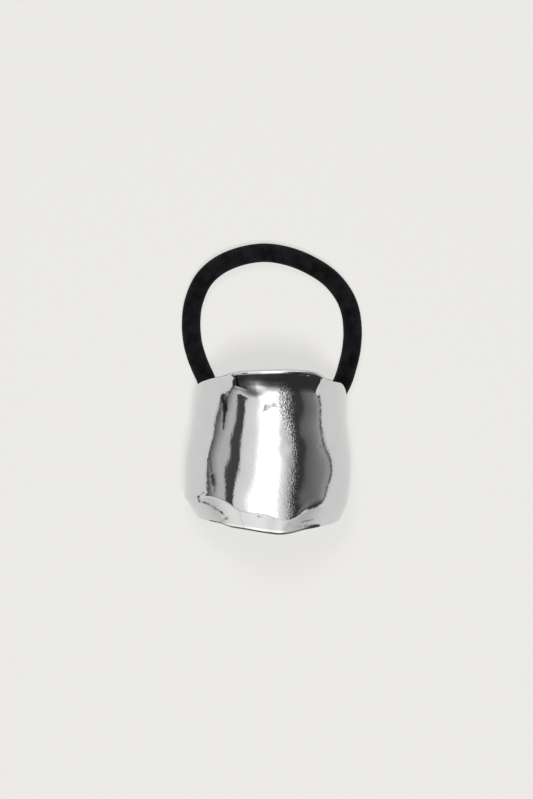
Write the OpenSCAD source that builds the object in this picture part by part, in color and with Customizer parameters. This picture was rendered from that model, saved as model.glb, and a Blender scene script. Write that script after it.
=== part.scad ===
// Ponytail cuff: a bright C-shaped metal shell with a closed elastic loop through a keeper under its crown.
// It rests on its two back edges. +X is its right side, +Y runs towards the free end of the loop, +Z is up.

/* [Cuff] */
// Width of the shell across its widest line
cuff_w = 38.3; // [30:0.1:50]
// Length of the shell along the ponytail
cuff_len = 37.6; // [25:0.1:50]
// Height of the crown above the surface it rests on
cuff_h = 24; // [16:0.1:32]
// Thickness of the metal
wall_t = 1.3; // [0.8:0.1:2.2]

/* [Lip and lower edge] */
// How far back from the top edge the lip starts to flare
lip_len = 3.6; // [1:0.1:8]
// Slope of the flared lip in degrees
lip_slope = 31; // [0:1:50]
// Roundness of the bend below the lip
lip_bend = 1.1; // [0.3:0.1:4]
// Slope of the rolled-in lower edge in degrees
roll_slope = 49; // [0:1:65]
// Roundness of the bend above the lower edge
roll_bend = 1.3; // [0.3:0.1:5]
// Depth of the hammered dents, 1 as made and 0 for a smooth shell
dent_depth = 1; // [0:0.1:2]

/* [Keeper] */
// Place of the keeper along the length, measured from the middle
keeper_y = -2.1; // [-8:0.1:8]
// Width of the keeper strap
keeper_w = 5.1; // [3:0.1:8]
// Thickness of the keeper strap
keeper_t = 1.2; // [0.8:0.1:2]
// Room between the elastic and the keeper
keeper_room = 0.35; // [0.2:0.05:1]

/* [Elastic] */
// Thickness of the covered elastic
cord_d = 4.1; // [2:0.1:6]
// Space left between the elastic and the surface it lies on
cord_lift = 0.05; // [0:0.05:0.5]

/* [Mesh] */
// Stations round the wrap of the shell
wrap_steps = 58; // [24:2:80]
// Stations along the length of the shell
len_steps = 34; // [16:1:44]
// Rings along the elastic
cord_rings = 64; // [40:1:80]
// Sides of the elastic
cord_sides = 12; // [8:1:12]

/* [Hidden] */
half_w = cuff_w / 2;
half_len = cuff_len / 2;
half_t = wall_t / 2;
metal = [0.80, 0.80, 0.81];
fabric = [0.05, 0.045, 0.05];

// Section rows. Columns: place along the length (share of half_len, -1 at the lower edge), half width (share of
// half_w), rise of the arch (share of cuff_h), shift to the right (share of half_w).
PLACE = 0;
WIDE = 1;
RISE = 2;
SHIFT = 3;
section_rows = [
    [-1.00, 1.000, 0.70, 0.000],
    [-0.55, 1.000, 0.71, 0.000],
    [-0.20, 0.991, 0.75, 0.003],
    [ 0.02, 0.974, 0.80, 0.011],
    [ 0.30, 0.940, 0.88, 0.022],
    [ 0.60, 0.929, 0.96, 0.044],
    [ 1.00, 0.920, 1.00, 0.045]
];

// Rim rows. Columns: place round the wrap (-1 left back edge, 0 crown, 1 right back edge), top edge and lower edge
// (shares of half_len), length of the rolled-in edge (share of half_len), strength of its slope.
TURN = 0;
TOP = 1;
LOW = 2;
ROLL = 3;
SLOPE = 4;
rim_rows = [
    [-1.00, 0.60, -0.66, 0.20, 0.40],
    [-0.90, 0.69, -0.76, 0.22, 0.42],
    [-0.80, 0.81, -0.81, 0.23, 0.55],
    [-0.60, 0.88, -0.84, 0.22, 0.78],
    [-0.42, 0.92, -0.88, 0.19, 0.95],
    [-0.32, 0.95, -0.91, 0.18, 1.00],
    [-0.12, 0.98, -0.94, 0.17, 1.00],
    [ 0.14, 0.99, -1.00, 0.18, 1.00],
    [ 0.32, 0.97, -0.95, 0.17, 1.00],
    [ 0.42, 0.92, -0.93, 0.17, 0.85],
    [ 0.60, 0.86, -0.88, 0.17, 0.65],
    [ 0.78, 0.82, -0.83, 0.18, 0.48],
    [ 0.88, 0.68, -0.79, 0.20, 0.42],
    [ 0.94, 0.46, -0.74, 0.20, 0.40],
    [ 1.00, 0.40, -0.70, 0.20, 0.36]
];

// The lip runs between these places round the wrap, and each end moves in by its skew for each mm below the edge.
lip_left = -0.32;
lip_right = 0.40;
lip_skew_left = 0.018;
lip_skew_right = 0.028;
lip_fold = 0.07;

// Dent rows. Columns: place round the wrap, place along the length (share of half_len), radius and depth (shares of
// half_w). A minus depth is a swelling.
AT_TURN = 0;
AT_LEN = 1;
SPREAD = 2;
DEPTH = 3;
dent_rows = [
    [-0.50,  0.50, 0.24,  0.014],
    [-0.34,  0.10, 0.20, -0.012],
    [-0.40, -0.42, 0.24,  0.014],
    [-0.22, -0.30, 0.20,  0.008],
    [-0.06,  0.42, 0.16,  0.007],
    [ 0.22,  0.42, 0.22,  0.010],
    [ 0.30,  0.06, 0.20, -0.012],
    [ 0.26, -0.22, 0.18,  0.012],
    [ 0.34, -0.48, 0.20, -0.010],
    [ 0.52,  0.20, 0.26,  0.013],
    [ 0.60, -0.30, 0.26, -0.010],
    [-0.70,  0.00, 0.30, -0.012],
    [-0.66, -0.45, 0.24,  0.012],
    [ 0.76,  0.30, 0.26, -0.010]
];

// Route of the elastic's centre line, in mm, as it lies: the free loop on the surface, then up inside the walls and
// through the keeper.
lie = cord_d / 2 + cord_lift;
keeper_z = cuff_h - wall_t - keeper_room - cord_d / 2;
cord_route = [
    [  0.0, keeper_y, keeper_z],
    [ -4.0, keeper_y + 0.1, keeper_z - 0.6],
    [ -8.0, keeper_y + 0.8, keeper_z - 2.7],
    [-11.2, keeper_y + 2.4, keeper_z - 5.8],
    [-12.9, keeper_y + 4.8, keeper_z - 9.8],
    [-13.1, keeper_y + 7.6, keeper_z - 13.6],
    [-12.8, 8.6, lie + 1.7],
    [-13.1, 12.4, lie + 0.2],
    [-14.2, 16.4, lie],
    [-15.5, 19.3, lie],
    [-16.6, 22.2, lie],
    [-17.4, 25.4, lie],
    [-17.7, 29.8, lie],
    [-17.1, 34.4, lie],
    [-15.0, 39.3, lie],
    [-11.3, 42.8, lie],
    [ -6.2, 45.0, lie],
    [ -0.6, 45.8, lie],
    [  5.0, 44.9, lie],
    [ 10.1, 42.8, lie],
    [ 14.4, 39.9, lie],
    [ 17.5, 36.1, lie],
    [ 19.1, 32.1, lie],
    [ 19.6, 27.6, lie],
    [ 19.3, 23.4, lie],
    [ 18.5, 19.8, lie],
    [ 17.4, 16.3, lie],
    [ 15.5, 12.4, lie + 0.1],
    [ 14.0,  8.5, lie + 1.7],
    [ 13.3, keeper_y + 7.6, keeper_z - 13.6],
    [ 12.8, keeper_y + 4.8, keeper_z - 9.8],
    [ 11.2, keeper_y + 2.4, keeper_z - 5.8],
    [  8.0, keeper_y + 0.8, keeper_z - 2.7],
    [  4.0, keeper_y + 0.1, keeper_z - 0.6]
];

// Smooth curve through four values, and the value of one column of a table at a place.
function smooth4(a, b, c, d, u) =
    b + 0.5 * u * (c - a + u * (2 * a - 5 * b + 4 * c - d + u * (3 * (b - c) + d - a)));
function row_at(rows, x, i = 0) = i >= len(rows) - 2 || x < rows[i + 1][0] ? i : row_at(rows, x, i + 1);
function look(rows, x, col, i) = let(
    n = len(rows) - 1,
    x0 = rows[i][0],
    x1 = rows[i + 1][0],
    u = min(max((x - x0) / (x1 - x0), 0), 1),
    b = rows[i][col],
    c = rows[i + 1][col],
    before = i > 0 ? (c - rows[i - 1][col]) / (x1 - rows[i - 1][0]) : (c - b) / (x1 - x0),
    after = i < n - 1 ? (rows[i + 2][col] - b) / (rows[i + 2][0] - x0) : (c - b) / (x1 - x0),
    m0 = before * (x1 - x0),
    m1 = after * (x1 - x0)
) b + u * (m0 + u * (3 * (c - b) - 2 * m0 - m1 + u * (2 * (b - c) + m0 + m1)));
function table(rows, x, col) = look(rows, x, col, row_at(rows, x));
function ramp(x, r) = (x + sqrt(x * x + r * r)) / 2;
function ease(x) = let(u = min(max(x, 0), 1)) u * u * (3 - 2 * u);
function unit(v) = v / norm(v);

// Middle of the metal at a place round the wrap and a height along Y, before the edges are shaped.
function arch_rise(y) = cuff_h * table(section_rows, y / half_len, RISE);
function arch_half(y) = half_w * table(section_rows, y / half_len, WIDE);
function arch_shift(y) = half_w * table(section_rows, y / half_len, SHIFT);
function wrap_end(y) = acos((0.15 * half_t - cuff_h + arch_rise(y)) / (arch_rise(y) - half_t));

function lip_share(turn, below) =
    ease((turn - lip_left - lip_skew_left * below) / lip_fold + 0.5)
    * ease((lip_right - lip_skew_right * below - turn) / lip_fold + 0.5);
function lip_out(turn, below) = tan(lip_slope) * ramp(lip_len - below, lip_bend) * lip_share(turn, below);
function roll_in(turn, above) =
    tan(roll_slope) * table(rim_rows, turn, SLOPE)
    * ramp(half_len * table(rim_rows, turn, ROLL) - above, roll_bend);
function dents(turn, y) = -dent_depth * half_w * [for (d = dent_rows)
    let(far = norm([(turn - d[AT_TURN]) * 1.7, (y / half_len - d[AT_LEN])]) / d[SPREAD])
    d[DEPTH] * exp(-far * far)] * [for (d = dent_rows) 1];

// Point of the middle surface: turn runs -1 to 1 round the wrap and along runs 0 to 1 from the lower to the top edge.
function shell_at(turn, along) = let(
    low = half_len * table(rim_rows, turn, LOW) + half_t,
    top = half_len * table(rim_rows, turn, TOP) - half_t,
    y = low + (top - low) * along,
    angle = turn * wrap_end(y),
    a = arch_half(y) - half_t,
    b = arch_rise(y) - half_t,
    out = unit([b * sin(angle), 0, a * cos(angle)]),
    move = lip_out(turn, top - y) - roll_in(turn, y - low) + dents(turn, y)
) [arch_shift(y) + a * sin(angle), y, cuff_h - arch_rise(y) + b * cos(angle)] + move * out;

// Stations: closer together near the edges along the length, and near the lip's ends and back edges round the wrap.
crowd_turn = 500;
crowd_share = 0.045;
function crowd(u) = u + crowd_share * sin(crowd_turn * u);
function turn_at(i) = crowd(2 * i / wrap_steps - 1) / crowd(1);
function along_at(j) = let(u = j / len_steps) u - 0.07 * sin(360 * u);
function out_at(turn, along) = let(
    step = 0.004,
    across = shell_at(turn + step, along) - shell_at(turn - step, along),
    forward = shell_at(turn, along + step) - shell_at(turn, along - step)
) unit(cross(across, -forward));
function forward_at(turn, along) = unit(shell_at(turn, along + 0.004) - shell_at(turn, along - 0.004));

// Share of the thickness left at a distance from the back edge, so that this edge is round.
function edge_share(i) = let(k = min(i, wrap_steps - i)) k >= len(edge_marks) ? 1
    : sqrt(max(1 - pow(1 - edge_marks[k], 2), 0.03));
edge_marks = [0.0, 0.35, 0.80];
edge_arc = half_t / (half_w * 1.75);
function turn_of(i) = let(
    k = min(i, wrap_steps - i),
    side = i * 2 < wrap_steps ? -1 : 1,
    inner = 1 - edge_arc
) k < len(edge_marks) ? side * (inner + edge_arc * (1 - edge_marks[k]))
    : inner * turn_at((i - len(edge_marks) + 0.5) * wrap_steps / (wrap_steps - 2 * len(edge_marks) + 1));

cap_steps = 4;
loop_size = 2 * (len_steps + 1) + 2 * (cap_steps - 1);
function station(i) = let(
    turn = turn_of(i),
    r = half_t * edge_share(i),
    mid = [for (j = [0:len_steps]) shell_at(turn, along_at(j))],
    out = [for (j = [0:len_steps]) out_at(turn, along_at(j))],
    tip = r * forward_at(turn, 1),
    tail = -r * forward_at(turn, 0)
) concat(
    [for (j = [0:len_steps]) mid[j] + r * out[j]],
    [for (k = [1:cap_steps - 1]) let(w = 180 * k / cap_steps)
        mid[len_steps] + r * cos(w) * out[len_steps] + sin(w) * tip],
    [for (j = [len_steps:-1:0]) mid[j] - r * out[j]],
    [for (k = [1:cap_steps - 1]) let(w = 180 * k / cap_steps) mid[0] - r * cos(w) * out[0] + sin(w) * tail]
);

shell_points = [for (i = [0:wrap_steps]) each station(i)];
shell_low = [for (c = [0:2]) min([for (p = shell_points) p[c]])];
shell_high = [for (c = [0:2]) max([for (p = shell_points) p[c]])];
shell_home = [-(shell_low[0] + shell_high[0]) / 2, -(shell_low[1] + shell_high[1]) / 2, -shell_low[2]];

function tube_faces(rings, size, closed) = [
    for (i = [0:rings - (closed ? 1 : 2)])
    for (j = [0:size - 1]) let(
        a = i * size + j,
        b = i * size + (j + 1) % size,
        c = ((i + 1) % rings) * size + (j + 1) % size,
        d = ((i + 1) % rings) * size + j
    ) each [[a, c, b], [a, d, c]]
];
// The flat end of the last and first stations, closed in strips between the outer and inner surface.
function partner(j) = (2 * len_steps + cap_steps - j + loop_size) % loop_size;
function end_faces(base, flip) = [
    for (j = [-cap_steps / 2 : len_steps + cap_steps / 2 - 1])
    let(
        a = base + (j + loop_size) % loop_size,
        b = base + (j + 1 + loop_size) % loop_size,
        c = base + partner(j + 1),
        d = base + partner(j)
    )
    for (f = flip ? [[a, c, b], [a, d, c]] : [[a, b, c], [a, c, d]])
    if (f[0] != f[1] && f[1] != f[2] && f[0] != f[2]) f
];

module shell() {
    polyhedron(
        points = [for (p = shell_points) p + shell_home],
        faces = concat(
            tube_faces(wrap_steps + 1, loop_size, false),
            end_faces(0, false),
            end_faces(wrap_steps * loop_size, true)
        ),
        convexity = 6
    );
}

// Keeper path in the YZ plane: up one leg, round under the elastic and up the other.
leg_y = cord_d / 2 + keeper_room + keeper_t / 2;
bar_z = keeper_z - cord_d / 2 - keeper_room - 0.3 - keeper_t / 2;
foot_z = cuff_h - wall_t + 0.25;
keeper_bend = 1.6;
keeper_arc = [for (w = [0:22.5:90]) [leg_y - keeper_bend + keeper_bend * cos(w), bar_z + keeper_bend * (1 - sin(w))]];
keeper_path = concat(
    [[leg_y, foot_z]],
    keeper_arc,
    [for (k = [len(keeper_arc) - 1:-1:0]) [-keeper_arc[k][0], keeper_arc[k][1]]],
    [[-leg_y, foot_z]]
);

keeper_last = len(keeper_path) - 1;
// Half of the strap's section, with eased corners: across the strap and through its thickness.
strap_ease = keeper_t / 4;
strap_half = [keeper_w / 2, keeper_t / 2];
strap_section = [for (q = [[1, 1], [1, -1], [-1, -1], [-1, 1]])
    each let(
        a = [q[0] * (strap_half[0] - strap_ease), q[1] * strap_half[1]],
        b = [q[0] * strap_half[0], q[1] * (strap_half[1] - strap_ease)]
    ) (q[0] * q[1] > 0 ? [a, b] : [b, a])];

function strap_ring(k) = let(
    into = k == 0 ? [0, -1] : unit(keeper_path[k] - keeper_path[k - 1]),
    away = k == keeper_last ? [0, 1] : unit(keeper_path[k + 1] - keeper_path[k]),
    mitre = unit([-into[1] - away[1], into[0] + away[0]]),
    reach = 1 / (mitre * [-into[1], into[0]])
) [for (c = strap_section) let(q = keeper_path[k] + c[1] * reach * mitre) [c[0], keeper_y + q[0], q[1]]];

module keeper() {
    polyhedron(
        points = [for (k = [0:keeper_last]) each strap_ring(k)],
        faces = concat(
            tube_faces(keeper_last + 1, 8, false),
            [[for (j = [0:7]) j]],
            [[for (j = [7:-1:0]) keeper_last * 8 + j]]
        ),
        convexity = 4
    );
}

module cuff() {
    color(metal)
        union() {
            shell();
            keeper();
        }
}

// Elastic: one closed loop swept along a smooth curve through the route.
function route_at(s) = let(
    n = len(cord_route),
    i = floor(s * n),
    u = s * n - i
) smooth4(cord_route[(i + n - 1) % n], cord_route[i % n], cord_route[(i + 1) % n], cord_route[(i + 2) % n], u);
view_from = [0, 14, 30];
function cord_ring(k) = let(
    s = k / cord_rings,
    p = route_at(s),
    dir = unit(route_at((s + 0.002) % 1) - route_at((s + 0.998) % 1)),
    side = unit(cross(view_from - p, dir)),
    up = cross(dir, side)
) [for (j = [0:cord_sides - 1]) let(w = 360 * (j + 0.5) / cord_sides)
    p + cord_d / 2 * (cos(w) * side + sin(w) * up)];

module elastic_band() {
    color(fabric)
        polyhedron(
            points = [for (k = [0:cord_rings - 1]) each cord_ring(k)],
            faces = tube_faces(cord_rings, cord_sides, true),
            convexity = 6
        );
}

cuff();
elastic_band();
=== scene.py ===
"""Ponytail cuff: a bright, hand-shaped metal shell with a closed black elastic loop held under its crown.

Every piece is made in metres, in the row frame: +X is the cuff's right side, +Y runs to the free end of the loop
and +Z is up. The tables and sizes below are in mm or in shares, as each one says.
"""
import math

import bpy
import numpy as np
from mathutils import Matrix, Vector


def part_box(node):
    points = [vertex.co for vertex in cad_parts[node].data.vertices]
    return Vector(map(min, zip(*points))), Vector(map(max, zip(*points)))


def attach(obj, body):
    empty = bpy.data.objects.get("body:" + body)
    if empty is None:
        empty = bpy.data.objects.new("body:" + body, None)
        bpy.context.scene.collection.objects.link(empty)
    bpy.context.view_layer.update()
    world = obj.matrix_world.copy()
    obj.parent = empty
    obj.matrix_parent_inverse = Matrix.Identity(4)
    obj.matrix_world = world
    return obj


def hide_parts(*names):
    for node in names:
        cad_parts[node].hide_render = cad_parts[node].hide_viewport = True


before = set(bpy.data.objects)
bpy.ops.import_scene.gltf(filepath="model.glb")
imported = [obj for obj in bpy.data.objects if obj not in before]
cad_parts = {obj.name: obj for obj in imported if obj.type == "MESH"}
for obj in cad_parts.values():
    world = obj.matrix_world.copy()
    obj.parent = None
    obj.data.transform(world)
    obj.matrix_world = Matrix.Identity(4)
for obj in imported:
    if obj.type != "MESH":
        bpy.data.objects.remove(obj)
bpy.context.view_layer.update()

MM = 0.001

# Camera. It looks straight down, and one pixel is 0.23 mm near the table.
IMAGE_HEIGHT = 799
PIXEL = 0.23 * MM
LOOK_AT = Vector((-0.29 * MM, 11.9 * MM, 6 * MM))
CAMERA_UP = 900 * MM
SENSOR = 36.0

bpy.ops.object.camera_add(location=(LOOK_AT.x, LOOK_AT.y, CAMERA_UP), rotation=(0, 0, 0))
camera = bpy.context.object
camera.name = "photo_camera"
camera.data.sensor_fit = "AUTO"
camera.data.sensor_width = SENSOR
camera.data.lens = SENSOR * (CAMERA_UP - LOOK_AT.z) / (IMAGE_HEIGHT * PIXEL)
camera.data.clip_start = 0.01
camera.data.clip_end = 50
bpy.context.scene.camera = camera


# Helpers for the meshes.

def deselect():
    if bpy.context.object and bpy.context.object.mode != "OBJECT":
        bpy.ops.object.mode_set(mode="OBJECT")
    bpy.ops.object.select_all(action="DESELECT")


def only(piece):
    deselect()
    piece.select_set(True)
    bpy.context.view_layer.objects.active = piece


def shade_smooth(piece):
    only(piece)
    bpy.ops.object.shade_smooth()


def apply_modifier(piece, kind, **settings):
    only(piece)
    modifier = piece.modifiers.new(kind.lower(), kind)
    for name, value in settings.items():
        setattr(modifier, name, value)
    bpy.ops.object.modifier_apply(modifier=modifier.name)


def grid_sheet(name, across, along):
    """A flat grid from corner 0, 0 to corner 1, 1, ready to be shaped, and the places of its points on it."""
    deselect()
    bpy.ops.mesh.primitive_grid_add(
        x_subdivisions=across, y_subdivisions=along, size=1, location=(0.5, 0.5, 0), calc_uvs=True)
    piece = bpy.context.object
    piece.name = name
    piece.data.name = name
    bpy.ops.object.transform_apply(location=True, rotation=True, scale=True)
    flat = np.empty(len(piece.data.vertices) * 3)
    piece.data.vertices.foreach_get("co", flat)
    flat = flat.reshape(-1, 3)
    return piece, flat[:, 0].copy(), flat[:, 1].copy()


def set_points(piece, points):
    piece.data.vertices.foreach_set("co", np.asarray(points, float).ravel())
    piece.data.update()


def weld(piece, distance):
    """Merges points that lie closer than the distance, and turns the faces outwards."""
    only(piece)
    bpy.ops.object.mode_set(mode="EDIT")
    bpy.ops.mesh.select_all(action="SELECT")
    bpy.ops.mesh.remove_doubles(threshold=distance)
    bpy.ops.mesh.dissolve_degenerate(threshold=distance / 10)
    bpy.ops.mesh.normals_make_consistent(inside=False)
    bpy.ops.object.mode_set(mode="OBJECT")


def smooth_table(rows, place, column):
    """Values of one column of a table of rows, on a smooth curve through them, at each place."""
    rows = np.asarray(rows, float)
    places, values = rows[:, 0], rows[:, column]
    step = np.diff(values) / np.diff(places)
    slope = np.concatenate([step[:1], (values[2:] - values[:-2]) / (places[2:] - places[:-2]), step[-1:]])
    i = np.clip(np.searchsorted(places, place, side="right") - 1, 0, len(places) - 2)
    gap = places[i + 1] - places[i]
    u = np.clip((place - places[i]) / gap, 0, 1)
    a, b, slope_a, slope_b = values[i], values[i + 1], slope[i] * gap, slope[i + 1] * gap
    return a + u * (slope_a + u * (3 * (b - a) - 2 * slope_a - slope_b + u * (2 * (a - b) + slope_a + slope_b)))


def ramp(x, radius):
    """Zero below -radius and x above it, with a smooth bend between them."""
    u = np.clip((x / radius + 1) / 2, 0, 1)
    return np.where(x < radius, radius * u ** 3 * (2 - u), x)


def ease(x):
    """A smooth rise from 0 at 0 to 1 at 1."""
    u = np.clip(x, 0, 1)
    return u * u * (3 - 2 * u)


def band(x, start, ease_in, end, ease_out):
    """1 between start and end and 0 outside them, with a smooth rise and fall just inside them."""
    return ease((x - start) / ease_in) * ease((end - x) / ease_out)


def bump_at(x, middle, spread):
    """1 at the middle, and smoothly down to 0 away from it."""
    return np.exp(-((x - middle) / spread) ** 2)


def unit(v):
    return v / np.linalg.norm(v, axis=-1, keepdims=True)


# Elastic. Sizes in mm. The route is its centre line, as in part.scad.
CORD_D = 4.1
KEEPER_Y = -2.1
KEEPER_Z = 20.3
LIE = 2.1
CORD_ROUTE = [
    (0.0, KEEPER_Y, KEEPER_Z),
    (-4.0, KEEPER_Y + 0.1, KEEPER_Z - 0.6),
    (-8.0, KEEPER_Y + 0.8, KEEPER_Z - 2.7),
    (-11.2, KEEPER_Y + 2.4, KEEPER_Z - 5.8),
    (-12.9, KEEPER_Y + 4.8, KEEPER_Z - 9.8),
    (-13.1, KEEPER_Y + 7.6, KEEPER_Z - 13.6),
    (-12.8, 8.6, LIE + 1.7),
    (-13.1, 12.4, LIE + 0.2),
    (-14.2, 16.4, LIE),
    (-15.5, 19.3, LIE),
    (-16.6, 22.2, LIE),
    (-17.4, 25.4, LIE),
    (-17.7, 29.8, LIE),
    (-17.1, 34.4, LIE),
    (-15.0, 39.3, LIE),
    (-11.3, 42.8, LIE),
    (-6.2, 45.0, LIE),
    (-0.6, 45.8, LIE),
    (5.0, 44.9, LIE),
    (10.1, 42.8, LIE),
    (14.4, 39.9, LIE),
    (17.5, 36.1, LIE),
    (19.1, 32.1, LIE),
    (19.6, 27.6, LIE),
    (19.3, 23.4, LIE),
    (18.5, 19.8, LIE),
    (17.4, 16.3, LIE),
    (15.5, 12.4, LIE + 0.1),
    (14.0, 8.5, LIE + 1.7),
    (13.3, KEEPER_Y + 7.6, KEEPER_Z - 13.6),
    (12.8, KEEPER_Y + 4.8, KEEPER_Z - 9.8),
    (11.2, KEEPER_Y + 2.4, KEEPER_Z - 5.8),
    (8.0, KEEPER_Y + 0.8, KEEPER_Z - 2.7),
    (4.0, KEEPER_Y + 0.1, KEEPER_Z - 0.6),
]
ROUTE_FINE = 6001
ROUTE_NEAR = 0.001
PATH_POINTS = 150
# The columns of stitches are counted from the side of the cord that is at right angles to this point, above the
# loop.
ABOVE_LOOP = (0.0, 14.0, 30.0)
CORD_SIDES = 80
CORD_RINGS = 760
CORD_WELD = 0.004

# Knitted cover: columns of stitches round the cord, stitches along it, and their relief. It swells out a little
# more than the plain cord.
WALES = 20
STITCHES = 190
STITCH_RELIEF = 0.055
STITCH_SLANT = 0.55
STITCH_FLOOR = 0.35
STITCH_SINK = 0.8
WALE_FULLNESS = 2.6
COVER_SWELL = 0.11


def route_at(shares):
    """Points of the closed centre line, in mm, at shares of the route."""
    count = len(CORD_ROUTE)
    knots = np.asarray(CORD_ROUTE, float)
    at = (np.asarray(shares, float) % 1) * count
    i = np.floor(at).astype(int)
    u = (at - i)[:, None]
    a, b, c, d = (knots[(i + k) % count] for k in (-1, 0, 1, 2))
    return b + 0.5 * u * (c - a + u * (2 * a - 5 * b + 4 * c - d + u * (3 * (b - c) + d - a)))


def even_shares(count):
    """Shares of the route at even steps of length."""
    fine = np.linspace(0, 1, ROUTE_FINE)
    steps = np.linalg.norm(np.diff(route_at(fine), axis=0), axis=1)
    length = np.concatenate([[0], np.cumsum(steps)])
    return np.interp(np.arange(count) / count * length[-1], length, fine)


def knit(around, along):
    """Relief of the cover, in mm: columns of V stitches, with a groove between two columns and each V's legs
    slanting to its middle."""
    inside = np.abs((around * WALES % 1) - 0.5) * 2
    lean = (along * STITCHES + STITCH_SLANT * inside) % 1
    stitch = np.sqrt(np.clip(1 - (2 * lean - 1) ** 2, 0, 1))
    body = np.sqrt(np.clip(1 - inside ** WALE_FULLNESS, 0, 1))
    return STITCH_RELIEF * (STITCH_FLOOR + (1 - STITCH_FLOOR) * stitch) * body - STITCH_RELIEF * STITCH_SINK


def make_elastic():
    """The elastic as one closed tube, and its centre line in metres."""
    piece, around, along = grid_sheet("elastic_loop", CORD_SIDES, CORD_RINGS)
    shares = even_shares(CORD_RINGS)
    ring = np.rint(along * CORD_RINGS).astype(int) % CORD_RINGS
    centre = route_at(shares) + np.array([0.0, 0.0, COVER_SWELL])
    ahead = unit(route_at(shares + ROUTE_NEAR) - route_at(shares - ROUTE_NEAR))
    side = unit(np.cross(np.array(ABOVE_LOOP) - centre, ahead))
    up = np.cross(ahead, side)
    turn = 2 * math.pi * around
    radius = CORD_D / 2 + COVER_SWELL + knit(around, along)
    outwards = np.cos(turn)[:, None] * side[ring] + np.sin(turn)[:, None] * up[ring]
    set_points(piece, (centre[ring] + radius[:, None] * outwards) * MM)
    weld(piece, CORD_WELD * MM)
    shade_smooth(piece)
    return piece, route_at(even_shares(PATH_POINTS)) * MM


elastic, elastic_path = make_elastic()


# Shell. Sizes in mm.
HALF_W = 38.3 / 2
HALF_LEN = 37.6 / 2
CUFF_H = 24.0
WALL_T = 1.3
HALF_T = WALL_T / 2
# Half of the wrap, from the crown to a back edge, in shares of HALF_W, and how high the middle of the wall is at
# the back edges, in shares of HALF_T.
HALF_WRAP = 1.75
BACK_EDGE_UP = 0.15

# Section rows. Columns: place along the length (share of the half length, -1 at the lower edge), half width and
# rise of the arch (shares of HALF_W and CUFF_H), shift to the right and lean of the crown to the left (shares of
# HALF_W).
WIDE, RISE, SHIFT, LEAN = 1, 2, 3, 4
SECTION_ROWS = [
    (-1.00, 1.000, 0.70, 0.000, 0.070),
    (-0.55, 1.000, 0.71, 0.000, 0.060),
    (-0.20, 0.991, 0.75, 0.003, 0.010),
    (0.02, 0.974, 0.80, 0.011, 0.000),
    (0.30, 0.940, 0.88, 0.022, 0.000),
    (0.60, 0.929, 0.96, 0.044, 0.000),
    (1.00, 0.920, 1.00, 0.045, 0.000),
]

# Rim rows. Columns: place round the wrap (-1 left back edge, 0 crown, 1 right back edge), top and lower edge
# (shares of HALF_LEN), length of the rolled-in edge (share of HALF_LEN), strength of its slope.
TOP, LOW, ROLL, SLOPE = 1, 2, 3, 4
RIM_ROWS = [
    (-1.00, 0.60, -0.66, 0.20, 0.40),
    (-0.90, 0.69, -0.76, 0.22, 0.42),
    (-0.80, 0.81, -0.81, 0.23, 0.55),
    (-0.60, 0.88, -0.84, 0.22, 0.78),
    (-0.42, 0.92, -0.88, 0.30, 0.86),
    (-0.32, 0.95, -0.91, 0.33, 0.78),
    (-0.22, 0.97, -0.925, 0.29, 0.66),
    (-0.12, 0.98, -0.94, 0.20, 0.70),
    (0.03, 0.9885, -0.982, 0.195, 0.74),
    (0.14, 0.99, -1.00, 0.145, 0.75),
    (0.32, 0.97, -0.95, 0.25, 0.70),
    (0.42, 0.92, -0.93, 0.24, 0.75),
    (0.60, 0.86, -0.88, 0.17, 0.65),
    (0.78, 0.82, -0.83, 0.18, 0.48),
    (0.88, 0.68, -0.79, 0.20, 0.42),
    (0.94, 0.46, -0.74, 0.20, 0.40),
    (1.00, 0.40, -0.70, 0.20, 0.36),
]

# Flared lip: its length and slope, how softly it bends, and for each end its place round the wrap, how that shifts
# for each mm below the edge, and how wide the fold at the end is.
LIP_LEN = 3.6
LIP_SLOPE = math.tan(math.radians(29.5))
LIP_BEND = 2.3
LIP_LEFT, LIP_SKEW_LEFT, LIP_FOLD_LEFT = -0.345, 0.004, 0.15
LIP_RIGHT, LIP_SKEW_RIGHT, LIP_FOLD_RIGHT = 0.43, 0.012, 0.05

# Rolled-in lower edge: its slope, and how soft its fold is in the middle. To each side the fold softens, from a
# place round the wrap and over a share of it.
ROLL_SLOPE = math.tan(math.radians(49))
ROLL_BEND = 0.02
ROLL_BEND_LEFT, SOFT_LEFT_FROM, SOFT_LEFT_OVER = 0.20, -0.1, 0.2
ROLL_BEND_RIGHT, SOFT_RIGHT_FROM, SOFT_RIGHT_OVER = 2.7, 0.15, 0.15

# Dents of the hammered shell. Columns: place round the wrap, place along the length, spread, depth (share of
# HALF_W). Places round the wrap are stretched, so that a dent is about round.
DENT_STRETCH = 1.7
DENT_ROWS = [
    (-0.50, 0.50, 0.24, 0.014),
    (-0.34, 0.10, 0.20, -0.012),
    (-0.40, -0.42, 0.24, 0.014),
    (-0.22, -0.30, 0.20, 0.008),
    (-0.06, 0.42, 0.16, 0.007),
    (-0.70, 0.00, 0.30, -0.012),
    (-0.66, -0.45, 0.24, 0.012),
]

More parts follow.
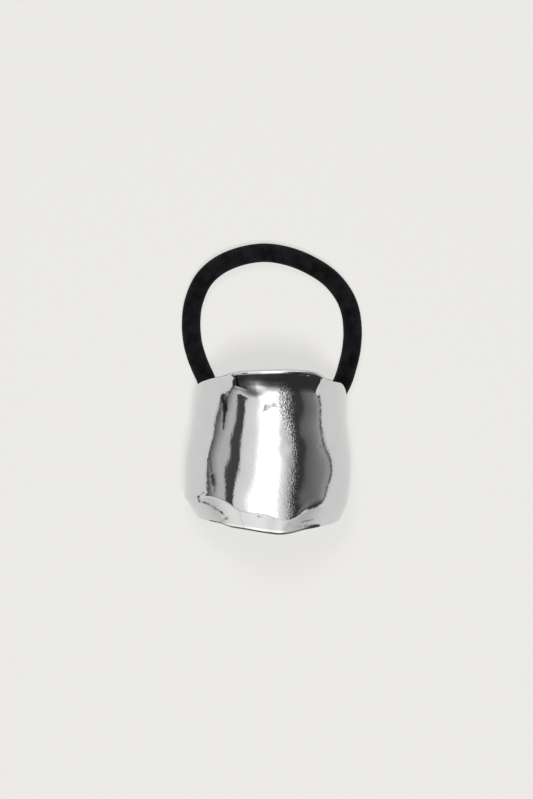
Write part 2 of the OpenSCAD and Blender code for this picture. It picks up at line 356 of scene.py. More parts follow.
# Finer pressing marks, in mm as seen from above. Columns: x, y, radius across, radius along, depth.
PRESS_ROWS = [
    (-13.5, 8.0, 3.0, 6.0, -0.50),
    (-11.5, 10.5, 5.5, 4.0, -0.40),
    (-10.5, -3.0, 3.0, 8.0, -0.12),
    (-9.2, 0.0, 2.6, 4.0, 0.17),
    (-7.0, -10.5, 2.2, 3.0, -0.12),
    (-3.2, 14.6, 2.0, 2.0, -0.36),
    (-1.8, 13.9, 1.6, 1.4, -0.20),
    (-6.9, 12.5, 2.2, 2.2, -0.18),
    (-10.6, -0.6, 2.2, 3.0, 0.12),
    (-5.6, 16.2, 0.9, 1.6, 0.16),
    (11.2, 16.4, 0.8, 0.7, 0.12),
    (3.7, 0.6, 1.4, 1.5, 0.06),
    (4.0, 5.0, 1.6, 2.0, 0.05),
    (6.6, 5.0, 1.6, 2.0, -0.05),
    (5.0, 11.0, 4.0, 3.5, 0.30),
    (9.1, -10.5, 2.5, 2.5, 0.20),
    (10.5, 1.5, 3.0, 3.0, -0.20),
    (11.9, 9.5, 3.5, 4.0, -0.30),
    (15.5, 4.0, 2.5, 2.5, -0.22),
    (16.8, -2.0, 3.5, 6.0, -0.50),
    (16.0, -11.5, 4.2, 4.0, 0.60),
]

# Creases and scratches, in mm as seen from above. Columns: x and y of both ends, half width, depth, darkness of the
# painted shade in the crease.
DEPTH, CREASE_SHADE_COLUMN = 5, 6
CREASE_ROWS = [
    (-7.9, 13.6, -9.1, 12.8, 0.30, 0.03, 0.6),
    (-9.3, 12.4, -9.1, 9.8, 0.66, 0.05, 1.5),
    (-9.1, 9.8, -9.5, 5.2, 0.36, 0.03, 1.3),
    (-12.7, -1.8, -12.4, -4.6, 0.22, 0.03, 0.35),
    (-12.0, -5.4, -11.8, -7.4, 0.50, 0.05, 1.0),
    (-11.8, -7.4, -11.8, -9.0, 0.25, 0.03, 0.6),
    (-6.7, 17.9, -6.3, 15.1, 0.35, 0.05, 1.1),
    (-6.3, 15.1, -4.3, 14.4, 0.25, 0.04, 0.8),
    (-13.9, -9.3, -15.1, -10.3, 0.28, 0.03, 0.75),
    (-15.1, -10.3, -14.9, -11.3, 0.28, 0.03, 0.60),
    (-14.9, -11.3, -13.7, -11.5, 0.30, 0.05, 0.65),
    (-13.7, -11.5, -9.8, -13.6, 0.30, 0.06, 0.80),
    (-9.8, -13.6, -8.6, -14.9, 0.30, 0.06, 0.65),
    (-8.6, -14.9, -10.2, -15.6, 0.30, 0.05, 0.65),
    (-2.2, -14.4, -1.0, -14.5, 0.24, 0.01, 0.45),
    (-4.6, 16.4, 9.0, 16.0, 0.50, 0.018, 0.0),
    (-3.4, 15.1, 8.0, 14.8, 0.45, 0.015, 0.0),
    (4.6, 17.8, 8.2, 17.2, 0.24, 0.035, 0.0),
    (8.0, 17.5, 11.0, 16.9, 0.22, 0.04, 0.0),
    (11.4, 1.2, 11.5, 1.1, 0.25, 0.05, 1.0),
    (-0.3, 9.6, 1.5, 10.4, 0.90, 0.02, 0.72),
    (6.8, -15.9, 10.2, -15.1, 0.20, 0.04, 0.7),
    (5.4, -16.8, 10.8, -16.3, 0.20, 0.04, 0.7),
]

# Fine grain on the right of the brightest strip, with painted glints, bright and dark specks, over it, in mm.
# Columns: y, x of its middle, half width, strength.
GRAIN_X, GRAIN_WIDE, GRAIN_SHARE = 1, 2, 3
GRAIN_AND_GLINT_ROWS = [
    (-18.0, 5.0, 1.0, 0.2),
    (-13.0, 5.5, 1.3, 0.7),
    (-8.6, 5.9, 1.4, 0.8),
    (-1.8, 6.3, 1.0, 0.8),
    (2.7, 6.0, 1.0, 1.0),
    (7.3, 4.7, 1.7, 1.0),
    (14.0, 3.9, 2.0, 1.0),
    (16.5, 3.9, 2.0, 0.2),
]

# Painted sheen and painted shade on the rolled-in edge: patches that are brighter or duller than the rest. Columns:
# place round the wrap, spread, tone. They end just below the fold, in mm.
SHEEN_PATCH_ROWS = [
    (-0.37, 0.09, -0.5),
    (-0.17, 0.09, 0.8),
    (0.27, 0.11, -0.8),
]
SHEEN_PATCH_CLEAR = 0.1
SHEEN_PATCH_FADE = 0.5

# Lower rim: painted shade on its underside, how far it shows up the outer face, in mm, and where round the wrap it
# shows. It is thicker and darker at one place. Above it runs a painted highlight, a bright line. Bands: start, ease
# in, end, ease out.
RIM_SHADE_REACH = 0.25
RIM_SHADE_ROUND = (-0.56, 0.06, 0.475, 0.04)
THICK_PLACE, THICK_SPREAD, THICK_MORE = 0.39, 0.07, 2.5
RIM_HIGHLIGHT_UP = (0.0, 0.25, 0.8, 0.3)
RIM_HIGHLIGHT_ROUND = (-0.34, 0.1, 0.2, 0.1)

# How much of the outer face's fine unevenness the inner face has.
INSIDE_WORKED = 0.15

# Steps of the shell's mesh. A loop of rows runs up the outer face, over the top rim, down the inner face and
# under the lower rim. The outer rows lie closest at the fold of the roll, and the columns at the back edges.
WRAP_STEPS = 280
EDGE_STEPS = 5
OUT_STEPS = 230
IN_STEPS = 60
CAP_STEPS = 7
INNER_START = OUT_STEPS + CAP_STEPS
INNER_END = INNER_START + IN_STEPS
LOOP_STEPS = INNER_END + CAP_STEPS
ROLL_ROWS = 0.16
ROW_SPREAD = 1.35
SHELL_NEAR = 0.0015
SHELL_WELD = 0.0005


def lip_share(turn, below):
    """Share of the lip's flare at a place round the wrap and so far below the top edge."""
    return (ease((turn - LIP_LEFT - LIP_SKEW_LEFT * below) / LIP_FOLD_LEFT + 0.5)
            * ease((LIP_RIGHT - LIP_SKEW_RIGHT * below - turn) / LIP_FOLD_RIGHT + 0.5))


def presses(x, y):
    """How far the pressing marks move the metal outwards."""
    move = np.zeros_like(x)
    for at_x, at_y, across, along, depth in PRESS_ROWS:
        move -= depth * np.exp(-((x - at_x) / across) ** 2 - ((y - at_y) / along) ** 2)
    return move


def creases(x, y, column=DEPTH):
    """Sum over the creases at each point of their depth, or of the darkness of their painted shade."""
    total = np.zeros_like(x)
    for row in CREASE_ROWS:
        x0, y0, x1, y1, wide = row[:5]
        dx, dy = x1 - x0, y1 - y0
        share = np.clip(((x - x0) * dx + (y - y0) * dy) / (dx * dx + dy * dy), 0, 1)
        far = np.hypot(x - x0 - share * dx, y - y0 - share * dy) / wide
        total += row[column] * np.exp(-far * far)
    return total


def edges_at(turn):
    """Places along the length, in mm, of the metal's middle at the lower edge, the fold of the roll and the top."""
    low = HALF_LEN * smooth_table(RIM_ROWS, turn, LOW) + HALF_T
    top = HALF_LEN * smooth_table(RIM_ROWS, turn, TOP) - HALF_T
    return low, low + HALF_LEN * smooth_table(RIM_ROWS, turn, ROLL), top


def roll_bend(turn):
    """How soft the fold of the rolled-in edge is, in mm."""
    return (ROLL_BEND + ROLL_BEND_LEFT * ease((SOFT_LEFT_FROM - turn) / SOFT_LEFT_OVER)
            + ROLL_BEND_RIGHT * ease((turn - SOFT_RIGHT_FROM) / SOFT_RIGHT_OVER))


def shell_at(turn, along, rolled=1.0):
    """Middle of the metal, in mm: turn runs -1 to 1 round the wrap and along 0 to 1 from the lower to the top
    edge. With rolled 0 the lower edge isn't rolled in."""
    low, fold, top = edges_at(turn)
    y = low + (top - low) * along
    rise = CUFF_H * smooth_table(SECTION_ROWS, y / HALF_LEN, RISE)
    a = HALF_W * smooth_table(SECTION_ROWS, y / HALF_LEN, WIDE) - HALF_T
    b = rise - HALF_T
    shift = HALF_W * smooth_table(SECTION_ROWS, y / HALF_LEN, SHIFT)
    lean = HALF_W * smooth_table(SECTION_ROWS, y / HALF_LEN, LEAN)
    angle = turn * np.arccos((BACK_EDGE_UP * HALF_T - CUFF_H + rise) / b)
    out = unit(np.stack([b * np.sin(angle), 0 * angle, (a + 2 * lean * np.sin(angle)) * np.cos(angle)], -1))
    move = LIP_SLOPE * ramp(LIP_LEN - (top - y), LIP_BEND) * lip_share(turn, top - y)
    move -= rolled * ROLL_SLOPE * smooth_table(RIM_ROWS, turn, SLOPE) * ramp(fold - y, roll_bend(turn))
    for at_turn, at_len, spread, depth in DENT_ROWS:
        far = np.hypot((turn - at_turn) * DENT_STRETCH, y / HALF_LEN - at_len) / spread
        move -= HALF_W * depth * np.exp(-far * far)
    x = shift + a * np.sin(angle) - lean * np.cos(angle) ** 2
    middle = np.stack([x, y, CUFF_H - rise + b * np.cos(angle)], -1)
    move += presses(middle[..., 0], y) - creases(middle[..., 0], y)
    return middle + move[..., None] * out


def column_places(column):
    """Place round the wrap, half the wall's thickness there, and steps from the nearer back edge.

    The back edges take a few close columns, so that they are round."""
    from_edge = np.minimum(column, WRAP_STEPS - column)
    edge_arc = HALF_T / (HALF_W * HALF_WRAP)
    inner = 1 - edge_arc
    share = np.clip(from_edge / EDGE_STEPS, 0, 1)
    side = np.where(column * 2 < WRAP_STEPS, -1.0, 1.0)
    between = (column - EDGE_STEPS) / (WRAP_STEPS - 2 * EDGE_STEPS) * 2 - 1
    at_edge = side * (inner + edge_arc * np.cos(share * math.pi / 2))
    turn = np.where(from_edge < EDGE_STEPS, at_edge, inner * between)
    return turn, HALF_T * np.sin(share * math.pi / 2), from_edge


def row_places(turn, u):
    """Place along the length of the rows of the outer face, u 0 to 1: they lie closest at the fold of the roll."""
    low, fold, top = edges_at(turn)
    at_fold = (fold - low) / (top - low)
    under = np.clip((ROLL_ROWS - u) / ROLL_ROWS, 0, 1) ** ROW_SPREAD
    over = np.clip((u - ROLL_ROWS) / (1 - ROLL_ROWS), 0, 1) ** ROW_SPREAD
    return at_fold * (1 - under) + (1 - at_fold) * over


def wall_direction(turn, along, near_rim):
    """Direction of the wall's thickness. It turns evenly through the roll, so that the fold stays crisp outside."""
    def outwards(rolled):
        across = shell_at(turn + SHELL_NEAR, along, rolled) - shell_at(turn - SHELL_NEAR, along, rolled)
        ahead = shell_at(turn, along + SHELL_NEAR, rolled) - shell_at(turn, along - SHELL_NEAR, rolled)
        return unit(np.cross(across, ahead))

    return unit(outwards(0.0) * (1 - near_rim) + outwards(1.0) * near_rim)


def painted_rim_light_tones(turn, from_rim, outer, under):
    """Painted light of the lower rim: 1 and more for the painted shade on its underside, -1 for the painted
    highlight, a bright line above it, else 0.
    """
    bright = -band(from_rim, *RIM_HIGHLIGHT_UP) * band(turn, *RIM_HIGHLIGHT_ROUND)
    thick = bump_at(turn, THICK_PLACE, THICK_SPREAD)
    shade_to = RIM_SHADE_REACH * (1 + THICK_MORE * thick)
    tone = np.where(from_rim < shade_to, 1 - from_rim / shade_to, bright)
    tone = np.where(outer, tone, np.where(under, 1.0, 0.0))
    tone = np.where(tone > 0, tone * (1 + thick), tone)
    return tone * band(turn, *RIM_SHADE_ROUND)


def painted_sheen_tones(turn, below_fold, outer):
    """Tone of the painted sheen and painted shade patches of the rolled-in edge, brighter and duller."""
    patches = sum(tone * bump_at(turn, place, spread) for place, spread, tone in SHEEN_PATCH_ROWS)
    return np.where(outer, ease((below_fold - SHEEN_PATCH_CLEAR) / SHEEN_PATCH_FADE), 0.0) * patches


def grain_and_glint_shares(x, y):
    """Share of the fine grain, and of its painted glints, at each point."""
    middle, wide, share = (
        smooth_table(GRAIN_AND_GLINT_ROWS, y, column) for column in (GRAIN_X, GRAIN_WIDE, GRAIN_SHARE))
    return share * bump_at(x, middle, wide)


def paint(piece, tones):
    for name, values in tones.items():
        layer = piece.data.attributes.new(name, "FLOAT", "POINT")
        layer.data.foreach_set("value", values)


def centre_on_node(points, node):
    """Moves points, in mm, over the middle of a node's box and down onto the table."""
    node_low, node_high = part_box(node)
    home = (node_low + node_high) / 2
    low, high = points.min(0), points.max(0)
    points[:, 0] += home.x / MM - (low[0] + high[0]) / 2
    points[:, 1] += home.y / MM - (low[1] + high[1]) / 2
    points[:, 2] -= low[2]
    return points


def make_shell():
    """The shell as one closed wall of metal: outer face, rounded top rim, inner face and rounded lower rim."""
    piece, wrap, loop = grid_sheet("cuff_metal", WRAP_STEPS, LOOP_STEPS)
    turn, half, from_edge = column_places(np.rint(wrap * WRAP_STEPS).astype(int))
    row = np.rint(loop * LOOP_STEPS).astype(int) % LOOP_STEPS
    outer = row <= OUT_STEPS
    over = (row > OUT_STEPS) & (row < INNER_START)
    inner = (row >= INNER_START) & (row <= INNER_END)
    under = row > INNER_END
    u = np.where(inner, (INNER_END - row) / IN_STEPS, np.where(over, 1.0, 0.0))
    u = np.where(outer, row / OUT_STEPS, u)
    # On the back edges the rows of the outer face end on those of the inner one, so that the seam is closed.
    u = np.where(from_edge == 0, np.rint(u * IN_STEPS) / IN_STEPS, u)
    along = row_places(turn, u)
    # Place of each row round the two rims: 0 on the outer face, half a turn on the inner one.
    cap = np.where(over, (row - OUT_STEPS) / CAP_STEPS, 0.0)
    cap = np.where(under, 1 - (row - INNER_END) / CAP_STEPS, cap)
    cap = np.where(inner, 1.0, cap) * math.pi
    end = np.where(over, 1.0, np.where(under, -1.0, 0.0))
    low, fold, top = edges_at(turn)
    from_rim = along * (top - low)
    near_rim = np.clip(1 - from_rim / (fold - low), 0, 1)[:, None]
    middle = shell_at(turn, along)
    forward = unit(shell_at(turn, along + SHELL_NEAR) - shell_at(turn, along - SHELL_NEAR))
    out = wall_direction(turn, along, near_rim)
    points = middle + half[:, None] * (np.cos(cap)[:, None] * out + (np.sin(cap) * end)[:, None] * forward)
    set_points(piece, centre_on_node(points, "cuff") * MM)
    x, y = middle[:, 0], middle[:, 1]
    paint(piece, {
        # Painted shade and painted highlight of the lower rim.
        "painted_rim_light": painted_rim_light_tones(turn, from_rim, outer, under),
        # Painted sheen and painted shade of the rolled-in edge.
        "painted_sheen_tone": painted_sheen_tones(turn, fold - low - from_rim, outer),
        # Painted shade in the creases.
        "painted_crease_shade": np.where(outer, np.clip(creases(x, y, CREASE_SHADE_COLUMN), 0, 1), 0.0),
        # Fine grain, and the painted glints over it.
        "grain_and_glint_share": grain_and_glint_shares(x, y),
        "worked_share": np.where(outer | over, 1.0, INSIDE_WORKED),
    })
    weld(piece, SHELL_WELD * MM)
    shade_smooth(piece)
    return piece


cuff = make_shell()


# Keeper, in mm: a strap that holds the elastic under the crown. Its feet reach into the shell's wall.
KEEPER_W = 5.1
KEEPER_T = 1.2
KEEPER_ROOM = 0.35
KEEPER_DROP = 0.3
KEEPER_BEND = 1.6
KEEPER_ROUND = 0.3
KEEPER_WELD = 0.001
FOOT_BITE = 0.35
LEG_Y = CORD_D / 2 + KEEPER_ROOM + KEEPER_T / 2
BAR_Z = KEEPER_Z - CORD_D / 2 - KEEPER_ROOM - KEEPER_DROP - KEEPER_T / 2
FOOT_Z = CUFF_H - WALL_T + FOOT_BITE
LEG_STEPS = 3
BAR_STEPS = 4
BEND_STEPS = 6
SHARP = math.radians(50)


def make_keeper():
    """A strap that hangs under the crown: down one leg, round under the elastic and up the other."""
    deselect()
    bpy.ops.mesh.primitive_plane_add(size=1, location=(0, (KEEPER_Y + LEG_Y) * MM, FOOT_Z * MM))
    piece = bpy.context.object
    piece.name = "keeper"
    piece.scale = (KEEPER_W * MM, KEEPER_T * MM, 1)
    bpy.ops.object.transform_apply(location=True, rotation=True, scale=True)
    bpy.ops.object.mode_set(mode="EDIT")
    bpy.ops.mesh.select_all(action="SELECT")
    leg = (FOOT_Z - BAR_Z - KEEPER_BEND) * MM
    reach = (LEG_Y - KEEPER_BEND) * MM
    y, z = KEEPER_Y * MM, (BAR_Z + KEEPER_BEND) * MM

    def extrude(steps, move):
        for _ in range(steps):
            bpy.ops.mesh.extrude_region_move(TRANSFORM_OT_translate={"value": move})

    def turn_quarter(centre_y):
        bpy.ops.mesh.spin(steps=BEND_STEPS, angle=math.pi / 2, center=(0, centre_y, z), axis=(1, 0, 0))

    extrude(LEG_STEPS, (0, 0, -leg / LEG_STEPS))
    turn_quarter(y + reach)
    extrude(BAR_STEPS, (0, -2 * reach / BAR_STEPS, 0))
    turn_quarter(y - reach)
    extrude(LEG_STEPS, (0, 0, leg / LEG_STEPS))
    bpy.ops.object.mode_set(mode="OBJECT")
    weld(piece, KEEPER_WELD * MM)
    apply_modifier(piece, "BEVEL", width=KEEPER_ROUND * MM, segments=3, limit_method="ANGLE", angle_limit=SHARP)
    shade_smooth(piece)
    return piece


keeper = make_keeper()


# Shader nodes.

class Value:
    """One shader value. Sums and products of it add Math nodes."""

    def __init__(self, sheet, socket):
        self.sheet, self.socket = sheet, socket

    def __add__(self, other):
        return self.sheet.maths("ADD", self, other)

    def __sub__(self, other):
        return self.sheet.maths("SUBTRACT", self, other)

    def __rsub__(self, other):
        return self.sheet.maths("SUBTRACT", other, self)

    def __mul__(self, other):
        return self.sheet.maths("MULTIPLY", self, other)

    def __truediv__(self, other):
        return self.sheet.maths("DIVIDE", self, other)

    def __rtruediv__(self, other):
        return self.sheet.maths("DIVIDE", other, self)

    __radd__ = __add__
    __rmul__ = __mul__


class Sheet:
    """A node tree that is filled from empty."""

    def __init__(self, tree):
        self.tree = tree
        tree.nodes.clear()

    def add(self, kind, settings=None, inputs=None, out=0):
        """A node of a type, its settings, and the values or links of its sockets. Returns the output asked for,
        or a list of them."""
        node = self.tree.nodes.new(kind)
        for name, value in (settings or {}).items():
            if name == "stops":
                self.set_stops(node.color_ramp, value)
            else:
                setattr(node, name, value)
        for name, value in (inputs or {}).items():
            if isinstance(value, Value):
                self.tree.links.new(value.socket, node.inputs[name])
            else:
                node.inputs[name].default_value = value
        if isinstance(out, tuple):
            return [Value(self, node.outputs[name]) for name in out]
        return Value(self, node.outputs[out]) if len(node.outputs) else None

    def set_stops(self, colour_ramp, stops):
        while len(colour_ramp.elements) > 1:
            colour_ramp.elements.remove(colour_ramp.elements[-1])
        for k, (place, level) in enumerate(stops):
            stop = colour_ramp.elements[0] if k == 0 else colour_ramp.elements.new(place)
            stop.position = place
            stop.color = (level, level, level, 1)

    def maths(self, operation, *terms):
        return self.add("ShaderNodeMath", {"operation": operation}, dict(enumerate(terms)))

    def level(self, value, low, high, to_low=0.0, to_high=1.0):
        """The value's smooth rise from to_low at low to to_high at high."""
        return self.add("ShaderNodeMapRange", {"interpolation_type": "SMOOTHSTEP"}, {
            "Value": value, "From Min": low, "From Max": high, "To Min": to_low, "To Max": to_high})

    def mix(self, share, start, end):
        """Colour from start, where the share is 0, to end, where it is 1."""
        return self.add("ShaderNodeMix", {"data_type": "RGBA"}, {"Factor": share, 6: start, 7: end}, out=2)

    def noise(self, place, scale, detail, roughness=0.5):
        return self.add("ShaderNodeTexNoise", None, {
            "Vector": place, "Scale": scale, "Detail": detail, "Roughness": roughness})

    def painted(self, name):
        """A tone that is painted on the piece's points."""
        return self.add("ShaderNodeAttribute", {"attribute_name": name}, out=2)

    def object_place(self):
        return self.add("ShaderNodeTexCoord", out="Object")

    def surface(self, inputs):
        shader = self.add("ShaderNodeBsdfPrincipled", None, inputs)
        self.add("ShaderNodeOutputMaterial", None, {"Surface": shader})


def grey(level):
    return (level, level, level, 1)


def new_material(name):
    material = bpy.data.materials.new(name)
    material.use_nodes = True
    return material, Sheet(material.node_tree)


# Noise of each finish. Columns: scale, detail, roughness.
FINE_GRAIN = (1900.0, 3.0, 0.6)
SWELL = (700.0, 2.0, 0.5)
HAZE = (260.0, 3.0, 0.6)
SPECKS = (2900.0, 1.0, 0.5)
FIBRE = (1.0, 3.0, 0.7)
FIBRES_AROUND, FIBRES_ALONG = 160.0, 900.0
PATCHES = (350.0, 3.0)
MOTTLE = (900.0, 2.0)

# Colours of each finish, and of the light and shade painted on the metal.
METAL_DULL, METAL_CLEAR = (0.672, 0.678, 0.703, 1), (0.695, 0.701, 0.728, 1)
# Painted glints: bright and dark specks over the fine grain.
PAINTED_DARK_GLINT, PAINTED_GLINT = (0.20, 0.20, 0.21, 1), grey(0.97)
# Painted sheen and painted shade of the rolled-in edge.
PAINTED_SHEEN, PAINTED_DULL_SHADE = (0.88, 0.88, 0.90, 1), (0.42, 0.42, 0.43, 1)
# Painted highlight and painted shade of the lower rim.
PAINTED_RIM_HIGHLIGHT, PAINTED_RIM_SHADE, PAINTED_RIM_SHADE_DEEPEST = grey(0.98), grey(0.08), grey(0.015)
# Painted shade in the creases.
PAINTED_CREASE_SHADE = grey(0.06)
KNIT_DARK, KNIT_WORN = (0.0014, 0.0011, 0.0015, 1), (0.0115, 0.0095, 0.0120, 1)
TABLE_LOW, TABLE_HIGH = (0.835, 0.827, 0.797, 1), (0.845, 0.837, 0.807, 1)

# Where each tone of the metal starts and is full, and how much of it shows.
CLEAR_AT = (0.3, 0.7)
# Where the painted glints, dark and bright, start and are full.
DARK_GLINT_AT, DARK_GLINT_SHARE = (0.49, 0.57), 0.8
GLINT_AT, GLINT_SHARE = (0.48, 0.42), 0.7
# Where the painted highlight and the painted shade of the lower rim start and are full.
RIM_HIGHLIGHT_AT, RIM_SHADE_AT, RIM_SHADE_DEEPEST_AT = (-0.2, -0.8), (0.1, 0.5), (0.9, 1.4)
# Where the painted shade in the creases starts and is full, and how much of it shows.
CREASE_SHADE_PATCHY_AT = (0.3, 0.9)
CREASE_SHADE_THIN_AT, CREASE_SHADE_THIN_SHARE = (0.02, 0.25), 0.75
CREASE_SHADE_THICK_AT, CREASE_SHADE_THICK_SHARE = (0.75, 0.95), 0.20

# How much of the noises spreads the painted glints and the painted shade in the creases, and makes the metal's fine
# unevenness.
GLINT_SWELL = 0.4
CREASE_SHADE_GRAIN, CREASE_SHADE_SWELL = 1.1, 1.6
UNEVEN_GRAIN, UNEVEN_SPECKS, UNEVEN_SWELL = 0.45, 2.0, 0.5
UNEVEN_HEIGHT = 0.03 * MM

ROUGH_AT, METAL_ROUGH = (0.35, 0.75), (0.008, 0.025)
KNIT_FIBRE, KNIT_PATCHES, KNIT_WORN_AT = 0.45, 0.55, (0.40, 0.62)


def metal_material():
    material, sheet = new_material("polished_metal")
    place = sheet.object_place()
    grain, swell, haze, specks = (sheet.noise(place, *noise) for noise in (FINE_GRAIN, SWELL, HAZE, SPECKS))
    grain_and_glints, sheen_paint, rim_light_paint, crease_shade, worked = (
        sheet.painted(name) for name in ("grain_and_glint_share", "painted_sheen_tone", "painted_rim_light", "painted_crease_shade", "worked_share"))
    colour = sheet.mix(sheet.level(haze, *CLEAR_AT), METAL_DULL, METAL_CLEAR)
    # Painted glints: bright and dark specks where the grain is.
    glint_paint = specks + (swell - 0.5) * GLINT_SWELL
    colour = sheet.mix(sheet.level(glint_paint, *DARK_GLINT_AT) * grain_and_glints * DARK_GLINT_SHARE, colour, PAINTED_DARK_GLINT)
    colour = sheet.mix(sheet.level(glint_paint, *GLINT_AT) * grain_and_glints * GLINT_SHARE, colour, PAINTED_GLINT)
    # Painted sheen and painted shade on the rolled-in edge.
    colour = sheet.mix(sheet.maths("MAXIMUM", sheen_paint, 0.0), colour, PAINTED_SHEEN)
    colour = sheet.mix(sheet.maths("MAXIMUM", 0 - sheen_paint, 0.0), colour, PAINTED_DULL_SHADE)
    # Painted highlight, then painted shade, on the lower rim.
    colour = sheet.mix(sheet.level(rim_light_paint, *RIM_HIGHLIGHT_AT), colour, PAINTED_RIM_HIGHLIGHT)
    colour = sheet.mix(sheet.level(rim_light_paint, *RIM_SHADE_AT), colour, PAINTED_RIM_SHADE)
    colour = sheet.mix(sheet.level(rim_light_paint, *RIM_SHADE_DEEPEST_AT), colour, PAINTED_RIM_SHADE_DEEPEST)
    # Painted shade in the creases, in patches, and most where a crease is darkest.
    patchy = sheet.level(crease_shade + (grain - 0.5) * CREASE_SHADE_GRAIN + (swell - 0.5) * CREASE_SHADE_SWELL, *CREASE_SHADE_PATCHY_AT)
    shade_strength = (sheet.level(crease_shade, *CREASE_SHADE_THIN_AT) * CREASE_SHADE_THIN_SHARE
            + sheet.level(crease_shade, *CREASE_SHADE_THICK_AT) * CREASE_SHADE_THICK_SHARE)
    colour = sheet.mix(patchy * shade_strength, colour, PAINTED_CREASE_SHADE)
    height = (grain * UNEVEN_GRAIN + specks * grain_and_glints * UNEVEN_SPECKS + swell * UNEVEN_SWELL) * worked
    bump = sheet.add("ShaderNodeBump", None, {"Strength": 1.0, "Distance": UNEVEN_HEIGHT, "Height": height})
    sheet.surface({
        "Base Color": colour, "Metallic": 1.0, "Roughness": sheet.level(haze, *ROUGH_AT, *METAL_ROUGH),
        "Normal": bump})
    return material


def elastic_material():
    material, sheet = new_material("knitted_elastic")
    knit_place = sheet.add("ShaderNodeTexCoord", out="UV")
    around, along = sheet.add("ShaderNodeSeparateXYZ", None, {"Vector": knit_place}, out=("X", "Y"))
    stretched = sheet.add("ShaderNodeCombineXYZ", None, {"X": around * FIBRES_AROUND, "Y": along * FIBRES_ALONG})
    fibre = sheet.noise(stretched, *FIBRE)
    patches = sheet.noise(sheet.object_place(), *PATCHES)
    worn = sheet.level(fibre * KNIT_FIBRE + patches * KNIT_PATCHES, *KNIT_WORN_AT)
    colour = sheet.mix(worn, KNIT_DARK, KNIT_WORN)
    bump = sheet.add("ShaderNodeBump", None, {"Strength": 0.6, "Distance": UNEVEN_HEIGHT, "Height": fibre})
    sheet.surface({
        "Base Color": colour, "Roughness": 0.85, "Specular IOR Level": 0.10, "Sheen Weight": 0.03,
        "Sheen Roughness": 0.5, "Normal": bump})
    return material


def table_material():
    material, sheet = new_material("pale_table")
    colour = sheet.mix(sheet.noise(sheet.object_place(), *MOTTLE), TABLE_LOW, TABLE_HIGH)
    sheet.surface({"Base Color": colour, "Roughness": 1.0, "Specular IOR Level": 0.0})
    return material


def dress(piece, material):
    piece.data.materials.clear()
    piece.data.materials.append(material)


metal = metal_material()
dress(cuff, metal)
dress(keeper, metal)
dress(elastic, elastic_material())

# The keeper is soldered to the shell, so the two are one piece.
apply_modifier(cuff, "BOOLEAN", operation="UNION", solver="EXACT", object=keeper)
bpy.data.objects.remove(keeper)


# Table.
deselect()
bpy.ops.mesh.primitive_plane_add(size=12, location=(0, 0, 0))
table = bpy.context.object
table.name = "table"
dress(table, table_material())

# Studio round the metal, by the slope that mirrors each part of it straight up to the camera: a bright softbox
# overhead, a narrow black flag on each side of it, and soft grey walls. Stops: slope to the side, brightness.
ACROSS_STOPS = [
    (-1.00, 0.05), (-0.965, 0.06), (-0.94, 0.15), (-0.85, 0.27), (-0.75, 0.43), (-0.65, 0.58),
    (-0.54, 0.60), (-0.52, 0.075), (-0.375, 0.065), (-0.355, 0.84), (-0.28, 0.88), (-0.17, 0.98),
    (-0.10, 1.7), (0.14, 1.7), (0.18, 1.1), (0.22, 0.84), (0.27, 0.50), (0.33, 0.20),
    (0.36, 0.055), (0.46, 0.05), (0.50, 0.12), (0.52, 0.145), (0.60, 0.18), (0.75, 0.25),
    (0.93, 0.42), (0.96, 0.08), (1.00, 0.06),
]
PEAK = 2.0

# Opening in the left flag, towards the front: slopes to the side over which it starts and ends, slopes along over
# which it ends, and its brightness.
OPEN_RISE, OPEN_FALL = (-0.60, -0.56), (-0.36, -0.33)
OPEN_END = (-0.11, -0.09)
OPEN_LEVEL = 0.74

# Wall at the front, which the rolled-in edge mirrors: slopes along over which it ends, its brightness in the
# middle and at the sides, and the slope to the side where the latter is reached.
FRONT_END = (-0.73, -0.69)
FRONT_WALL = 1.12
FRONT_SIDES = 0.90
FRONT_REACH = 0.42

# Dark gap between that wall and the softbox, which the flared lip mirrors. Stops: slope along, share of the dark.
LIP_STOPS = [
    (-1.0, 0.0), (-0.73, 0.0), (-0.69, 1.0), (-0.58, 1.0), (-0.50, 0.97), (-0.40, 0.90), (-0.33, 0.76),
    (-0.24, 0.40), (-0.15, 0.0), (1.0, 0.0),
]
LIP_DARK = 0.035

# Lamp and wall at the back: slopes along between which the lamp comes in, those between which it fades to the
# wall, the brightness of both, and the slopes to the side between which they end.
BACK_FROM = (0.20, 0.35)
BACK_FADE = (0.45, 0.80)
BACK_GLOW, BACK_WALL = 1.5, 0.62
BACK_SIDES = (0.35, 0.8)

# Tint of the studio, what the camera sees behind the pieces, and what lights them softly.
RED_SHARE, BLUE_SHARE = 1.01, 0.97
BACKDROP = (0.840, 0.832, 0.802, 1)
SKY = 0.76
LOWEST_WAY = 0.2


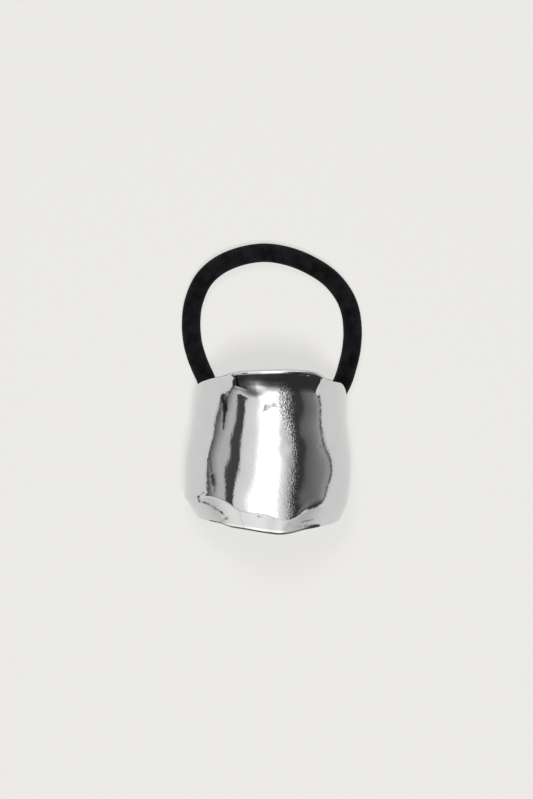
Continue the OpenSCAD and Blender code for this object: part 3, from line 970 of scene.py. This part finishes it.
def studio_light():
    """The studio is only mirrored. The camera sees the backdrop, and every other ray the sky."""
    world = bpy.data.worlds.new("studio")
    bpy.context.scene.world = world
    world.use_nodes = True
    world.cycles.sampling_method = "NONE"
    sheet = Sheet(world.node_tree)
    way = sheet.add("ShaderNodeTexCoord", out="Generated")
    x, y, z = sheet.add("ShaderNodeSeparateXYZ", None, {"Vector": way}, out=("X", "Y", "Z"))
    lift = sheet.maths("MAXIMUM", z + 1, LOWEST_WAY)
    side, along = x / lift, y / lift
    from_middle = sheet.maths("ABSOLUTE", side)

    def on_slope(slope, stops):
        """Level at a slope from -1 to 1, off stops of up to PEAK."""
        stops = [(place / 2 + 0.5, level / PEAK) for place, level in stops]
        return sheet.add("ShaderNodeValToRGB", {"stops": stops}, {"Fac": slope * 0.5 + 0.5}) * PEAK

    def covered(light, share, cover):
        return light * (1 - share) + cover * share

    light = on_slope(side, ACROSS_STOPS)
    opening = sheet.level(side, *OPEN_RISE) * sheet.level(side, *OPEN_FALL, 1.0, 0.0)
    light = covered(light, sheet.level(along, *OPEN_END, 1.0, 0.0) * opening, OPEN_LEVEL)
    wall = sheet.level(from_middle, 0.0, FRONT_REACH, FRONT_WALL, FRONT_SIDES)
    light = covered(light, sheet.level(along, *FRONT_END, 1.0, 0.0), wall)
    light = covered(light, on_slope(along, LIP_STOPS), LIP_DARK)
    back = sheet.level(along, *BACK_FADE, BACK_GLOW, BACK_WALL)
    glow = sheet.level(along, *BACK_FROM) * sheet.level(from_middle, *BACK_SIDES, 1.0, 0.0)
    light = covered(light, glow, back)
    studio = sheet.add("ShaderNodeCombineColor", None, {
        "Red": light * RED_SHARE, "Green": light, "Blue": light * BLUE_SHARE})
    mirrored, seen = sheet.add("ShaderNodeLightPath", out=("Is Glossy Ray", "Is Camera Ray"))
    colour = sheet.mix(mirrored, sheet.mix(seen, grey(SKY), BACKDROP), studio)
    sky = sheet.add("ShaderNodeBackground", None, {"Color": colour, "Strength": 1.0})
    sheet.add("ShaderNodeOutputWorld", None, {"Surface": sky})


# Large lamps before and behind the pieces. Columns: place in m, share of the table's light, size in m.
LAMP_ROWS = [
    ((0.04, -0.25, 1.00), 0.17, 0.25),
    ((-0.12, 0.45, 0.90), 0.07, 0.30),
]


def soft_lamps():
    for place, share, size in LAMP_ROWS:
        place = Vector(place)
        deselect()
        aim = (-place).to_track_quat("-Z", "Y").to_euler()
        bpy.ops.object.light_add(type="AREA", location=place, rotation=aim)
        lamp = bpy.context.object
        lamp.name = "soft_lamp"
        lamp.data.size = size
        lamp.data.energy = share * math.pi ** 2 * place.length ** 3 / place.z
        lamp.visible_camera = False
        lamp.visible_glossy = False


studio_light()
soft_lamps()

# The sky's light on the table passes the pieces, so that only the lamps give them a shadow, and a faint one.
cuff.visible_diffuse = False
elastic.visible_diffuse = False
bpy.context.scene.view_settings.view_transform = "Standard"
bpy.context.scene.view_settings.look = "None"


# Frame.
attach(cuff, "root")
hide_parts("cuff")

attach(elastic, "root")
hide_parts("elastic_band")
